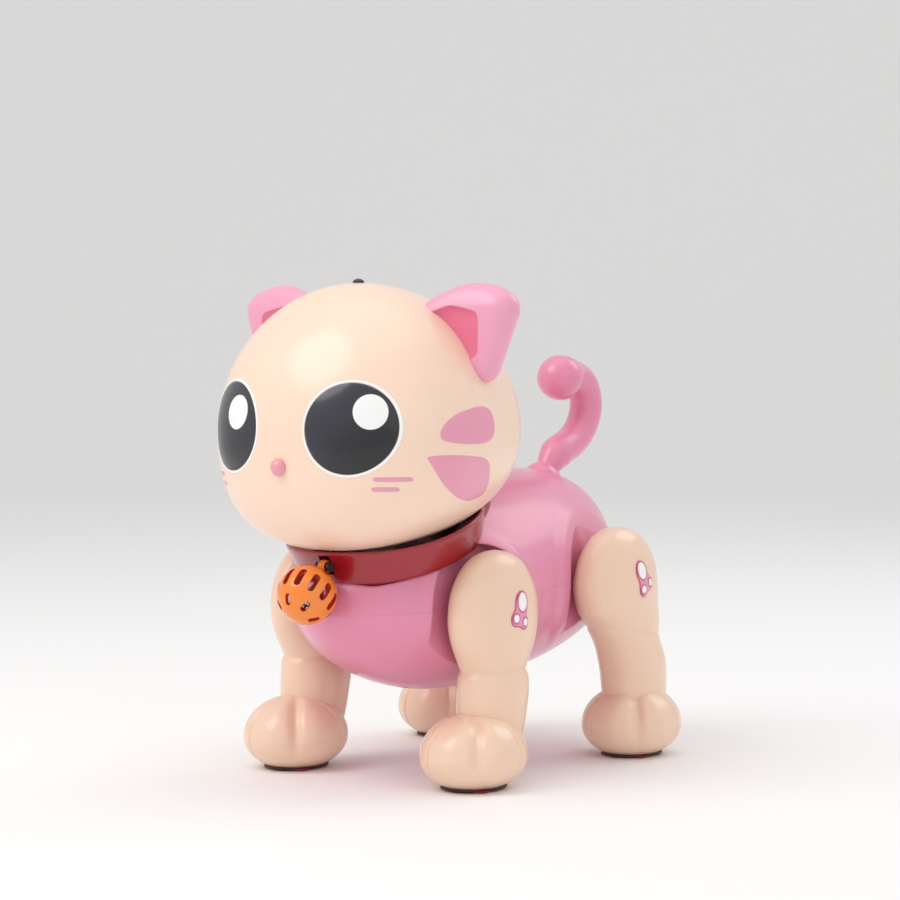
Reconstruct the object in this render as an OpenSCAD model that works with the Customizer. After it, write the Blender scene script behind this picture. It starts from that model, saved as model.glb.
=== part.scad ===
// Electronic walking cat toy: every moulded shell, drive part and trim piece as its own solid.
// The cat faces -Y, its left side is +X and it stands on the plane z = 0. Millimetres.

/* [Head] */
// Half width of the head
head_rx = 58.3; // [57.5:0.1:59]
// Depth of the face in front of the head's middle
head_ry_front = 49.3; // [48.5:0.1:50]
// Depth of the head behind its middle
head_ry_back = 72; // [71:0.5:73]
// Height of the crown above the head's middle
head_rz_top = 58.3; // [57.5:0.1:59]
// Depth of the jaw below the head's middle
head_rz_jaw = 46.9; // [46.5:0.1:47]
// How far the jaw is pushed towards the face
jaw_push = 12.6; // [12:0.1:13]
// Height of the head's middle above the floor
head_z = 140.6; // [140.5:0.1:142]
// Place of the neck joint's axis along the body
neck_y = -62; // [-62.5:0.5:-61.5]

/* [Body] */
// Half width of the body at its middle
body_rx = 46; // [45.5:0.5:47]
// Length of the chest in front of the body's middle
body_ry_front = 76; // [75:0.5:76]
// Length of the rump behind the body's middle
body_ry_back = 102; // [101:1:103]
// Height of the back above the parting line
body_rz_back = 47; // [46.5:0.5:47.5]
// Depth of the belly below the parting line
body_rz_belly = 39; // [38.5:0.5:39.5]
// Wall of every moulded shell
wall = 2.2; // [2:0.1:2.4]

/* [Legs] */
// Height of the shoulder axle above the floor
shoulder_z = 68.2; // [68:0.1:68.6]
// Height of the hip axle above the floor
hip_z = 72.7; // [72.5:0.1:73.1]
// Distance of the shoulder axle ahead of the origin
shoulder_y = 42; // [41.5:0.5:42.5]
// Distance of the hip axle behind the origin
hip_y = 42; // [41.5:0.5:42.5]
// Middle of a front leg, measured from the centre line
shoulder_x = 45.2; // [45:0.1:45.6]
// Middle of a rear leg, measured from the centre line
hip_x = 49; // [48.8:0.1:49.6]
// Diameter of a leg axle
axle_d = 6; // [5.8:0.1:6.2]

/* [Eyes] */
// Half width of an eye lens
eye_a = 16.6; // [16:0.1:17]
// Half height of an eye lens
eye_b = 17.4; // [17:0.1:18]
// Distance of an eye's middle from the centre line
eye_x = 28.6; // [28:0.1:29]
// Height of an eye's middle above the floor
eye_z = 142.8; // [142.4:0.1:143.2]

/* [Collar and bell] */
// Outer radius of the collar
collar_r = 38; // [37.5:0.5:38.5]
// Lean of the collar, lower at the chest
collar_tilt = 17.5; // [17:0.5:18]
// Radius of the bell's cage
bell_r = 11.7; // [11.5:0.1:12]

/* [Hidden] */

// Number of segments on turned and drilled features
$fn = 48;
head_y = -70.6;
body_y = -15;
body_z = 72.2;
body_lift = 6;
body_bow = 3;
chest_flare = 0.2;
neck_r = 9;
run_gap = 0.05;
collar_y = -50;
collar_z = 90.2;
hook_y = -92.5;
hook_z = 87.7;
bell_drop = [0, -10.6, -10.2];
tail_y = 58;
tail_z = 114.2;
deck_z = 53.2;
nose_z = 127.6;
length_shift = 11.37;
axle_r = axle_d / 2;
pocket_r = 27;
gear_module = 0.8;
leg_teeth = 36;
pinion_teeth = 12;
gear_x = 16.5;
gear_w = 4;
gear_gap = gear_module * (leg_teeth + pinion_teeth) / 2 + 0.1;
cream = "#f6d6b8";
face_cream = "#fde2ca";
pink = "#ee9cb8";
ear_pink = "#f3adc6";
wine = "#a0102a";
graphite = "#2c2c34";
steel = "#b9bec6";

// ---- shared maths ----
function spow(v, e) = sign(v) * pow(abs(v), e);
// Catmull-Rom value between p1 and p2
function curve(p0, p1, p2, p3, t) =
    0.5 * (2 * p1 + (p2 - p0) * t + (2 * p0 - 5 * p1 + 4 * p2 - p3) * t * t
           + (3 * p1 - p0 - 3 * p2 + p3) * t * t * t);
function knot(list, i) = list[max(0, min(len(list) - 1, i))];
// A smooth run of stations through the given ones
function smooth(list, steps) = concat(
    [for (i = [0:len(list) - 2]) for (k = [0:steps - 1])
        curve(knot(list, i - 1), list[i], list[i + 1], knot(list, i + 2), k / steps)],
    [list[len(list) - 1]]);

// ---- shared solids ----
// A solid skinned over a stack of rings, closed by its first and last ring
module loft(rings) {
    n = len(rings[0]);
    m = len(rings);
    points = [for (ring = rings) for (p = ring) p];
    sides = [for (i = [0:m - 2]) for (j = [0:n - 1]) for (tri = [0, 1])
        let (a = i * n + j, b = i * n + (j + 1) % n, c = b + n, d = a + n)
        tri == 0 ? [a, b, c] : [a, c, d]];
    caps = [[for (j = [n - 1:-1:0]) j], [for (j = [0:n - 1]) (m - 1) * n + j]];
    polyhedron(points, concat(sides, caps));
}

// A ring-shaped solid skinned over rings that close on themselves
module loft_loop(rings) {
    n = len(rings[0]);
    m = len(rings);
    points = [for (ring = rings) for (p = ring) p];
    polyhedron(points, [for (i = [0:m - 1]) for (j = [0:n - 1]) for (tri = [0, 1])
        let (a = i * n + j, b = i * n + (j + 1) % n, k = ((i + 1) % m) * n,
             c = k + (j + 1) % n, d = k + j)
        tri == 0 ? [a, b, c] : [a, c, d]]);
}

// Half of a hollow shell: each ring runs along the outside and back along the inside
module half_shell(rings) {
    n = len(rings[0]);
    m = len(rings);
    points = [for (ring = rings) for (p = ring) p];
    sides = [for (i = [0:m - 2]) for (j = [0:n - 1]) for (tri = [0, 1])
        let (a = i * n + j, b = i * n + (j + 1) % n, c = b + n, d = a + n)
        tri == 0 ? [a, b, c] : [a, c, d]];
    ends = [for (j = [0:n / 2 - 2]) for (tri = [0, 1])
        let (a = j, b = j + 1, c = n - 2 - j, d = n - 1 - j) tri == 0 ? [a, c, b] : [a, d, c]];
    last = (m - 1) * n;
    polyhedron(points, concat(sides, ends,
        [for (f = ends) [f[2] + last, f[1] + last, f[0] + last]]));
}

// The drawing's y = 0 lies midway between the axles, the part's under its mid-length
module placed() translate([0, length_shift, 0]) children();

module both_sides() {
    children();
    mirror([1, 0, 0]) children();
}

// A round rod between two points along X
module rod_x(x0, x1, r) {
    translate([x0, 0, 0]) rotate([0, 90, 0]) cylinder(r = r, h = x1 - x0);
}

// A closed outline with straight sides and round ends
module capsule(length, width) {
    square([length - width, width], center = true);
    for (s = [-1, 1]) translate([s * (length - width) / 2, 0]) circle(d = width);
}

// Spur gear along X, its middle plane at x = 0
module spur_gear(teeth, width, turn) {
    pitch_r = gear_module * teeth / 2;
    root_r = pitch_r - 1;
    tip_r = pitch_r + 0.65;
    step = 360 / teeth;
    rotate([0, 90, 0]) linear_extrude(width, center = true)
        polygon([for (i = [0:teeth - 1]) for (c = [[-0.34, root_r], [-0.11, tip_r],
                                                  [0.11, tip_r], [0.34, root_r]])
            let (a = (i + c[0]) * step + turn) c[1] * [cos(a), sin(a)]]);
}

// ---- head form ----
// Point on the head: turn 0 looks along the face, rise is the latitude
function head_point(turn, rise, inset) =
    let (e = rise > 0 ? 1.03 : 0.87, c = pow(cos(rise), e), s = spow(sin(rise), e),
         ry = (abs(turn) < 90 ? head_ry_front : head_ry_back) - inset,
         rz = (rise > 0 ? head_rz_top : head_rz_jaw) - inset,
         push = rise < 0 ? -jaw_push * s * s : 0)
    [(head_rx - inset) * c * spow(sin(turn), 0.94),
     head_y + push - ry * c * spow(cos(turn), 0.94), head_z + rz * s];

// Depth of the face's surface at a place seen from the front
function face_y(x, z) =
    let (up = z > head_z, rz = up ? head_rz_top : head_rz_jaw, e = up ? 1.03 : 0.87,
         s = pow(abs(z - head_z) / rz, 1 / e), c = pow(sqrt(1 - s * s), e),
         k = abs(x) / (head_rx * c), q = pow(1 - pow(k, 2 / 0.94), 0.47))
    head_y - (up ? 0 : jaw_push * pow(s, 2 * e)) - head_ry_front * c * q;

// Half of the head's shell, from one side seam round to the other
module head_half(from) {
    span = 18;
    rows = 24;
    half_shell([for (i = [0:rows])
        let (rise = -89.3 + i * 178.6 / rows)
        concat([for (j = [span:-1:0]) head_point(from + j * 180 / span, rise, 0)],
               [for (j = [0:span]) head_point(from + j * 180 / span, rise, wall)])]);
}

// ---- body form ----
// Point on the body: along runs from the chest to the rump, turn goes round it
function body_point(along, turn, inset) =
    let (front = along < 90, e = front ? 1.1 : 0.62, t = -spow(cos(along), e),
         r = pow(sin(along), e), rz = (turn <= 180 ? body_rz_back : body_rz_belly) - inset,
         ry = (front ? body_ry_front : body_ry_back) - inset)
    [(body_rx - inset) * r * spow(cos(turn), 1.06) * (1 - chest_flare * t), body_y + ry * t,
     body_z + rz * r * spow(sin(turn), 1.06) + body_lift * t + body_bow * t * t];

// A closed solid of the body's form
module body_solid(inset) {
    span = 18;
    rows = 26;
    loft([for (i = [0:rows]) let (along = 1.5 + i * 177 / rows)
        [for (j = [0:2 * span - 1]) body_point(along, j * 180 / span, inset)]]);
}

// The four leg places: side, fore-and-aft place, axle height, leg middle
function leg_place(name) =
    name == "fl" ? [1, -shoulder_y, shoulder_z, shoulder_x] :
    name == "fr" ? [-1, -shoulder_y, shoulder_z, shoulder_x] :
    name == "rl" ? [1, hip_y, hip_z, hip_x] : [-1, hip_y, hip_z, hip_x];
leg_names = ["fl", "fr", "rl", "rr"];

// Moves a left-hand part from the axle's frame to its leg
module at_leg(name) {
    place = leg_place(name);
    if (place[0] > 0) translate([0, place[1], place[2]]) children();
    else mirror([1, 0, 0]) translate([0, place[1], place[2]]) children();
}

// Round recess that a thigh lies in, with room below for the swing
module leg_pocket(name, grow) {
    inner_face = leg_place(name)[3] - 12.6;
    at_leg(name) {
        rod_x(inner_face - 0.6 - grow, 70, pocket_r + grow);
        translate([inner_face - 0.6 - grow, -22 - grow, -60])
            cube([40, 22 + pocket_r + 2 * grow, 60]);
    }
}

// Bowl under the head, turned about the neck so that the head can look round
module head_bowl(grow) {
    translate([0, neck_y, 0]) rotate_extrude()
        polygon(concat([[0, head_z + 60], [0, head_z - 49.4 - grow]],
            [for (a = [20:10:90]) [(65.5 + grow) * sin(a), head_z - (50.5 + grow) * cos(a)]],
            [[65.5 + grow, head_z + 60]]));
}

// Everything above the leaning seat of the collar
module neck_seat(grow) {
    translate([0, collar_y, collar_z]) rotate([collar_tilt, 0, 0])
        translate([0, 0, -grow]) cylinder(r = collar_r + 0.4 + grow, h = 60);
}

module body_recesses(grow) {
    for (name = leg_names) leg_pocket(name, grow);
    head_bowl(grow);
    neck_seat(grow);
}

// ---- torso ----
parting_tilt = 3.8;
parting_z = 73.7;
door_half = [17, 26];
door_screw_y = 22;
switch_y = -44;
socket_y = 60.1;
speaker_y = 41;
// Across, along, and the height of the screw's head
screw_places = [[27, -8, 53.2], [-27, -8, 53.2], [14, 74, 55.2], [-14, 74, 55.2]];
screw_length = 28;

// Everything above the seam between the two body shells
module above_parting() {
    translate([0, body_y, parting_z]) rotate([parting_tilt, 0, 0])
        translate([-80, -120, 0]) cube([160, 240, 90]);
}

// Straight prism that cuts the battery door out of the belly
module door_prism(grow) {
    translate([-door_half[0] - grow, -1 - door_half[1] - grow, 20])
        cube([2 * (door_half[0] + grow), 2 * (door_half[1] + grow), 40]);
}

module body_walls() {
    difference() {
        body_solid(0);
        body_recesses(0);
        difference() {
            body_solid(wall);
            body_recesses(wall);
        }
    }
}

// Pillars that the body screws run in
module screw_pillars() {
    difference() {
        intersection() {
            body_solid(0.8);
            for (p = screw_places) translate([p[0], p[1], 36]) cylinder(r = 3.6, h = 84);
        }
        body_recesses(0.5);
    }
}

module body_upper_shell() color(pink) difference() {
    intersection() {
        union() {
            body_walls();
            screw_pillars();
        }
        above_parting();
    }
    translate([0, neck_y, deck_z]) cylinder(r = neck_r + 0.4, h = 60);
    translate([0, tail_y, tail_z - 10]) cylinder(r = 9.8, h = 40);
    for (p = screw_places) translate(p) cylinder(r = 1.2, h = screw_length + 1);
}

module body_lower_shell() color(pink) difference() {
    union() {
        body_walls();
        screw_pillars();
    }
    above_parting();
    door_prism(0.3);
    for (name = leg_names) at_leg(name) rod_x(25, 40, axle_r + 0.6);
    for (p = screw_places) translate(p) {
        cylinder(r = 1.5, h = 50);
        translate([0, 0, -30]) cylinder(r = 3, h = 32);
    }
    translate([-4.9, switch_y - 2.4, 27]) cube([9.8, 4.8, 12.2]);
    translate([-5, socket_y - 2.1, 37]) cube([10, 4.2, 12]);
    for (a = [0:60:300])
        translate([6 * cos(a), speaker_y + 6 * sin(a), 33]) cylinder(r = 0.9, h = 14);
}

module drive_chassis() color("#e9e6df") difference() {
    union() {
        translate([-22.5, -66, deck_z]) cube([45, 118, 2.4]);
        translate([-12, 50, deck_z]) cube([24, 18, 2.4]);
        both_sides() {
            translate([20, -66, deck_z]) cube([2.5, 48, 23]);
            translate([20, 20, deck_z]) cube([2.5, 32, 28]);
            for (name = ["fl", "rl"]) at_leg(name) rod_x(20, 28, 6);
            for (y = [20, 48]) translate([19.5, y, deck_z]) cube([3, 4, 35.2]);
            for (p = [[17, -40, -11.8], [20, 24, -7]])
                translate([p[0], p[1], deck_z + p[2]]) cylinder(r = 2.6, h = 1 - p[2]);
        }
        translate([-22.5, -72, deck_z + 21]) cube([45, 22, 2.4]);
        translate([0, door_screw_y, deck_z - 11]) cylinder(r = 3, h = 12);
        for (name = leg_names) motor_cradle(name);
    }
    for (name = leg_names) at_leg(name) rod_x(15, 40, axle_r + run_gap);
    for (name = leg_names) at_leg(name) rod_x(14, 19.5, gear_module * leg_teeth / 2 + 2);
    translate([0, door_screw_y, deck_z - 16]) cylinder(r = 1.2, h = 15);
    translate([0, neck_y, deck_z + 14]) cylinder(r = 5, h = 20);
}

// Fore-and-aft place of a leg's pinion, ahead of or behind its axle
function pinion_shift(name) = (name == "fl" || name == "rl") ? -gear_gap : gear_gap;

module motor_cradle(name) {
    axle_height = leg_place(name)[2] - deck_z;
    at_leg(name) translate([-6, pinion_shift(name) - 6, 1 - axle_height])
        cube([12, 12, axle_height - 6.2]);
}

module gearmotor(name) color(steel) at_leg(name) translate([0, pinion_shift(name), 0]) {
    difference() {
        union() {
            translate([4, -6, -5]) cube([9, 12, 10]);
            intersection() {
                rod_x(-11, 4, 6);
                translate([-12, -7, -5]) cube([17, 14, 10]);
            }
            rod_x(-12.2, -11, 1.5);
        }
        rod_x(8, 14, 1.2 + run_gap);
    }
}

module drive_pinion(name) color("white") at_leg(name) translate([0, pinion_shift(name), 0]) {
    translate([gear_x, 0, 0]) spur_gear(pinion_teeth, gear_w, 180 / pinion_teeth);
    rod_x(8.6, gear_x, 1.2);
}

module main_circuit_board() color("#2f7d4f") translate([0, 0, deck_z + 35.3]) {
    difference() {
        translate([-22.5, 18, 0]) cube([45, 36, 1.6]);
        both_sides() for (y = [22, 50]) translate([21, y, -1]) cylinder(r = 0.9, h = 4);
    }
    translate([-8, 30, 1.6]) cube([14, 14, 1.8]);
    translate([9, 42, 1.6]) cube([8, 6, 2]);
    for (y = [24, 32]) translate([-15, y, 1.6]) cylinder(r = 2.5, h = 6);
}

module battery_pack() color("#3f6fb5") translate([0, 20, deck_z - 7.1]) {
    for (x = [-6.6, 6.6]) translate([x, 0, 0]) rotate([90, 0, 0]) cylinder(r = 6.5, h = 42);
    translate([-6.6, -42, 3.5]) cube([13.2, 42, 3]);
}

module speaker() color("#3b3b40") translate([0, speaker_y, deck_z - 5.4]) {
    cylinder(r = 12.5, h = 2.2);
    cylinder(r = 8, h = 5.2);
}

module charging_socket() color(steel) translate([0, socket_y, deck_z - 7]) difference() {
    translate([-4.7, -1.9, 0]) cube([9.4, 3.8, 6.8]);
    translate([-4.1, -1.3, -1]) cube([8.2, 2.6, 6]);
}

module switch_housing() color("#3b3b40") translate([0, switch_y, 39.6]) difference() {
    translate([-8, -4, 0]) cube([16, 8, 6]);
    translate([-4.9, -2.4, -0.4]) cube([9.8, 4.8, 4.4]);
}

module power_slider() color("#3b3b40") translate([-2, switch_y, 34.6]) {
    translate([-2.5, -2, 5.3]) cube([5, 4, 3.3]);
    translate([-1.7, -1.7, 1.9]) cube([3.4, 3.4, 3.6]);
}

module neck_post() color("#e9e6df") translate([0, neck_y, deck_z + 23.4]) difference() {
    union() {
        cylinder(r = neck_r, h = 31.4);
        cylinder(r = neck_r + 1.8, h = 1.6);
    }
    translate([0, 0, -1]) cylinder(r = 5, h = 40);
}

module neck_retainer() color(steel) translate([0, neck_y, deck_z + 52.4]) difference() {
    cylinder(r = 12, h = 2);
    translate([0, 0, -1]) cylinder(r = neck_r, h = 4);
}

// The collar's band: deep at the chest, low at the nape, leaning with the seat
module collar() color(wine) translate([0, collar_y, collar_z]) rotate([collar_tilt, 0, 0])
    difference() {
        loft_loop([for (i = [0:47])
            let (a = -i * 7.5, deep = 13.2 - 0.6 * pow(sin(a), 2) - 3.5 * pow(sin(a), 3))
            [for (c = [[30, 0.2], [collar_r - 1.4, 0.2], [collar_r, 1.4],
                       [collar_r + 1.2, 0.5 * deep], [collar_r + 2.4, 0.87 * deep],
                       [collar_r + 1.7, deep], [collar_r - 2, deep - 2.2], [30, deep - 4.4]])
                [c[0] * cos(a), c[0] * sin(a), c[1]]]]);
        translate([-2.6, -44, 6]) cube([5.2, 10, 8.4]);
    }

module bell_hook() color("#26262b") {
    both_sides() translate([2.2, hook_y, hook_z]) {
        rod_x(0, 1.2, 1.9);
        translate([0, 0, -1.9]) cube([1.2, 8.5, 3.8]);
    }
    translate([0, hook_y, hook_z]) rod_x(-2.4, 2.4, 1);
}

module tail_bush() color("#e9e6df") translate([0, tail_y, tail_z]) difference() {
    translate([0, 0, -16]) cylinder(r = 11.5, h = 15.4);
    sphere(r = 9.3, $fn = 64);
    translate([0, 0, -20]) cylinder(r = 4 + run_gap, h = 20);
}

module countersunk_screw(length) {
    cylinder(r = 2.6, h = 2);
    cylinder(r = 1.2, h = length);
}

module body_screws() color(steel) for (p = screw_places)
    translate(p) countersunk_screw(screw_length);

module battery_door() color(pink) difference() {
    intersection() {
        body_walls();
        door_prism(0);
    }
    translate([0, door_screw_y, 20]) cylinder(r = 1.6, h = 40);
    translate([0, door_screw_y, 20]) cylinder(r = 3, h = 17.1);
}

module battery_door_screw() color(steel) translate([0, door_screw_y, 35.2]) {
    cylinder(r = 2.7, h = 1.7);
    cylinder(r = 1.1, h = 12);
}

// ---- legs ----
// Stations up a leg, from the foot's flat to the thigh's top, about the axle:
// height, fore-and-aft middle, half depth, half width
front_stations = [
    [1.2, -12.5, 15.5, 12.5], [2.3, -12.8, 19, 15.8], [6.4, -13.2, 22.4, 19.2],
    [13.2, -13.4, 23.8, 20.4], [20.2, -13, 22.8, 19.6], [25.7, -10.4, 19.8, 16.4],
    [28.4, -6, 17.4, 14], [30.6, -1.6, 16.2, 12.9], [36.2, -0.2, 16.8, 12.6], [42.2, 0, 16.6, 12.4],
    [45.8, -0.2, 15.4, 11.8], [49.7, -0.2, 17.6, 12], [55.2, 0, 21.4, 12.4],
    [61.2, 0, 24, 12.5], [68.2, 0, 25, 12.4], [76.2, 0, 23.7, 11.7], [83.2, 0, 20, 10.2],
    [88.7, 0, 14.8, 7.9], [92, 0, 8, 4.6], [93.1, 0, 2, 1.2]];
rear_stations = [
    [1.2, 13.5, 15.5, 12.5], [2.3, 13.2, 19, 15.8], [6.4, 12.8, 22.4, 19.2],
    [13.2, 12.6, 23.8, 20.4], [20.2, 13, 22.8, 19.6], [25.7, 13.6, 20, 16.6],
    [28.4, 14.2, 17.8, 14], [30.6, 14.4, 16.6, 13], [36.2, 13.8, 16.8, 12.8],
    [42.2, 12, 17.2, 12.6], [47.7, 9.3, 17.4, 12.2], [52.2, 7, 18.8, 12.2],
    [57.2, 5, 21.4, 12.4], [63.2, 2, 24.4, 12.5], [72.7, 0, 25.9, 12.5], [81.2, 0, 24.4, 11.7],
    [88.2, 0, 20.4, 10.2], [93.4, 0, 15, 7.9], [96.6, 0, 8.4, 4.6], [97.7, 0, 2, 1.2]];

function stations(name) = leg_place(name)[1] < 0 ? front_stations : rear_stations;

// The whole outside of a leg as one solid, in the axle's frame
module leg_form(name) {
    axle_z = leg_place(name)[2];
    middle = leg_place(name)[3];
    loft([for (st = stations(name)) [for (j = [0:25])
        let (a = -j * 360 / 26)
        [middle + st[3] * spow(cos(a), 0.85), st[1] + st[2] * spow(sin(a), 0.95),
         st[0] - axle_z]]]);
}

// The hollow inside a leg's two shells
module leg_hollow(name) {
    middle = leg_place(name)[3];
    front = leg_place(name)[1] < 0;
    difference() {
        union() {
            rod_x(middle - 9, middle + 9, 18);
            translate([middle, front ? 0 : 13, front ? -36 : -42]) cylinder(r = 9.6, h = 26);
        }
        rod_x(middle - 13, middle + 13, 6.4);
    }
}

module leg_half(name, outer) color(cream) at_leg(name) {
    middle = leg_place(name)[3];
    difference() {
        intersection() {
            leg_form(name);
            translate([outer ? middle : middle - 40, -60, -90]) cube([40, 120, 130]);
        }
        leg_hollow(name);
        rod_x(middle - 20, middle + 6, axle_r);
    }
}

module leg_axle(name) color(steel) at_leg(name) {
    rod_x(14, leg_place(name)[3] + 6, axle_r);
    translate([gear_x, 0, 0]) spur_gear(leg_teeth, gear_w, 0);
}

// Thin rubber sole with a heel pad and three toe pads
module sole(name) color("#7a1024") {
    place = leg_place(name);
    at_leg(name) translate([place[3], stations(name)[0][1], -place[2]]) {
        translate([0, 0, 0.45]) linear_extrude(0.75)
            polygon([for (a = [0:10:350]) [12.2 * cos(a), 15.2 * sin(a)]]);
        translate([0, 4, 0]) cylinder(r = 6.6, h = 0.6);
        for (x = [-7, 0, 7]) translate([x, x == 0 ? -9 : -6.4, 0]) cylinder(r = 2.9, h = 0.6);
    }
}

module paw_badge(name) color("#e58aac") {
    place = leg_place(name);
    front = place[1] < 0;
    at_leg(name) translate([place[3] + 10.6, 2, front ? 3 : 5.3])
        rotate([front ? -13 : 28, 0, 0]) rotate([90, 0, 90]) linear_extrude(2.4) {
            translate([0, 2]) circle(r = 5.2);
            for (y = [-3.4, 3.4]) translate([y, -5.9]) circle(r = 3);
            translate([0, -3]) square([9, 5], center = true);
        }
}

// ---- head ----
// Cylinder seen from the front with an elliptic outline leaning outwards
function eye_outline(grow, turn) =
    let (u = (eye_a + grow) * cos(turn), v = (eye_b + grow) * sin(turn))
    [eye_x + u * cos(6) + v * sin(6), eye_z - u * sin(6) + v * cos(6)];
function eye_ring(grow, proud) = [for (j = [0:35])
    let (p = eye_outline(grow, j * 10)) [p[0], face_y(p[0], p[1]) - proud, p[1]]];

module eye_opening() {
    translate([0, -60, 0]) rotate([90, 0, 0]) linear_extrude(80)
        polygon([for (j = [0:35]) eye_outline(1.3, j * 10)]);
}

module eye_lens() color(graphite) loft([eye_ring(-eye_a + 0.6, 0.75), eye_ring(-9, 0.7),
    eye_ring(-3, 0.5), eye_ring(-0.05, 0.1), eye_ring(-0.05, -1), eye_ring(-3, -1.1),
    eye_ring(-9, -1.1), eye_ring(-eye_a + 0.6, -1.1)]);

module eye_rim() color("white") loft_loop([eye_ring(1.25, 0.15), eye_ring(0, 0.2),
    eye_ring(0, -2.6), eye_ring(1.25, -2.6)]);

module head_front_shell() color(face_cream) difference() {
    head_half(-90);
    both_sides() eye_opening();
    translate([0, head_y, head_z + 46]) cylinder(r = 2.35, h = 20);
}

module head_rear_shell() color(face_cream) difference() {
    head_half(90);
    translate([0, head_y, head_z + 46]) cylinder(r = 2.35, h = 20);
    translate([0, neck_y, 80]) cylinder(r = 11.3, h = 30);
}

// One ear: a rounded triangle dished towards the face, cut to the head's curve
module ear() color(ear_pink) translate([0, 0, head_z]) difference() {
    hull() {
        translate([59, -57, 48.1]) sphere(r = 8, $fn = 32);
        translate([46, -58, 50.4]) sphere(r = 6.6, $fn = 28);
        translate([31, -62, 45.6]) sphere(r = 6, $fn = 24);
        translate([53.5, -59, 25]) sphere(r = 6, $fn = 24);
        translate([38, -50, 35]) sphere(r = 7, $fn = 24);
    }
    hull() {
        translate([58, -67, 46.5]) sphere(r = 4.6, $fn = 20);
        translate([38, -72, 44]) sphere(r = 4, $fn = 20);
        translate([53, -69, 30]) sphere(r = 4, $fn = 20);
    }
    translate([0, head_y, 0]) sphere(r = head_rx + 0.4, $fn = 96);
}

module nose() color("#f08aa0") translate([0, face_y(0, nose_z) - 0.5, nose_z])
    sphere(r = 3.2, $fn = 40);

module ir_receiver_dome() color("#2a1c20") translate([0, head_y, head_z + 54.6]) intersection() {
    cylinder(r = 2.3, h = 7);
    translate([0, 0, 2.2]) sphere(r = 3.2, $fn = 40);
}

module eye_light_board() color("#2f7d4f") {
    translate([-36, -97, eye_z - 11.6]) cube([72, 1.6, 22]);
    both_sides() for (a = [0:90:270])
        translate([eye_x - 1.6 + 5 * cos(a), -97, eye_z + 5 * sin(a)]) rotate([90, 0, 0])
            cylinder(r = 1.5, h = 3);
}

module neck_bearing() color("#e9e6df") translate([0, neck_y, deck_z + 41]) difference() {
    union() {
        cylinder(r = 11.2, h = 11);
        translate([0, 0, 4]) cylinder(r = 15, h = 7);
    }
    translate([0, 0, -1]) cylinder(r = neck_r + run_gap, h = 20);
}

// ---- bell ----
module at_bell() {
    translate([0, hook_y, hook_z] + bell_drop) rotate([-46, 0, 0]) children();
}

// Slot cut outwards through the cage, long along its meridian
module cage_slot(turn, rise, length, width) {
    rotate([0, 0, turn]) rotate([0, -rise, 0]) rotate([0, 90, 0])
        linear_extrude(20) capsule(length, width);
}

module bell_cage() color("#f0862a") difference() {
    union() {
        at_bell() {
            difference() {
                sphere(r = bell_r, $fn = 72);
                sphere(r = bell_r - 1.6, $fn = 72);
                for (i = [0:11]) cage_slot(i * 30 + 15, 0, 8, 2.8);
                for (i = [0:5]) cage_slot(i * 60 + 30, -50, 4.6, 2.4);
                for (i = [0:5]) cage_slot(i * 60 + 30, 50, 4.6, 2.4);
            }
            translate([0, 0, bell_r - 0.9]) cylinder(r = 1.6, h = 2.4);
        }
        translate([0, hook_y, hook_z]) rod_x(-1.8, 1.8, 2.6);
    }
    translate([0, hook_y, hook_z]) rod_x(-4, 4, 1 + run_gap);
}

module jingle_ball() color(steel) translate([0, hook_y, hook_z] + bell_drop + [0, 0, -5.2])
    sphere(r = 4, $fn = 48);

// ---- tail ----
tail_path = [[3.5, 4.5], [11.5, 12], [23, 16.8], [31.2, 23.2], [35.4, 32.5], [32.4, 41.6], [24, 46],
             [14.5, 45.4]];

module tail() color(pink) translate([0, tail_y, tail_z]) {
    path = smooth(tail_path, 3);
    last = len(path) - 1;
    loft([for (i = [0:last])
        let (d = path[min(last, i + 1)] - path[max(0, i - 1)], n = d / norm(d),
             r = min(7.4, 4.4 + 0.8 * i))
        [for (j = [0:17]) let (a = -j * 20)
            [r * cos(a), path[i][0] + r * sin(a) * n[1], path[i][1] - r * sin(a) * n[0]]]]);
    translate([0, 14.5, 45.4]) sphere(r = 10, $fn = 48);
    sphere(r = 9, $fn = 48);
    translate([0, 0, -15.6]) cylinder(r = 4, h = 12);
}

placed() body_upper_shell();
placed() body_lower_shell();
placed() drive_chassis();
placed() gearmotor("fl");  // motor_fl
placed() gearmotor("fr");  // motor_fr
placed() gearmotor("rl");  // motor_rl
placed() gearmotor("rr");  // motor_rr
placed() main_circuit_board();
placed() battery_pack();
placed() speaker();
placed() charging_socket();
placed() switch_housing();
placed() power_slider();
placed() neck_post();
placed() collar();
placed() bell_hook();
placed() tail_bush();
placed() body_screws();
placed() battery_door();
placed() battery_door_screw();
placed() drive_pinion("fl");  // pinion_fl
placed() drive_pinion("fr");  // pinion_fr
placed() drive_pinion("rl");  // pinion_rl
placed() drive_pinion("rr");  // pinion_rr
placed() leg_axle("fl");  // axle_fl
placed() leg_axle("fr");  // axle_fr
placed() leg_axle("rl");  // axle_rl
placed() leg_axle("rr");  // axle_rr
placed() leg_half("fl", true);  // leg_outer_fl
placed() leg_half("fr", true);  // leg_outer_fr
placed() leg_half("rl", true);  // leg_outer_rl
placed() leg_half("rr", true);  // leg_outer_rr
placed() leg_half("fl", false);  // leg_inner_fl
placed() leg_half("fr", false);  // leg_inner_fr
placed() leg_half("rl", false);  // leg_inner_rl
placed() leg_half("rr", false);  // leg_inner_rr
placed() sole("fl");  // sole_fl
placed() sole("fr");  // sole_fr
placed() sole("rl");  // sole_rl
placed() sole("rr");  // sole_rr
placed() paw_badge("fl");  // paw_badge_fl
placed() paw_badge("fr");  // paw_badge_fr
placed() paw_badge("rl");  // paw_badge_rl
placed() paw_badge("rr");  // paw_badge_rr
placed() head_front_shell();
placed() head_rear_shell();
placed() ear();  // left_ear
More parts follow.
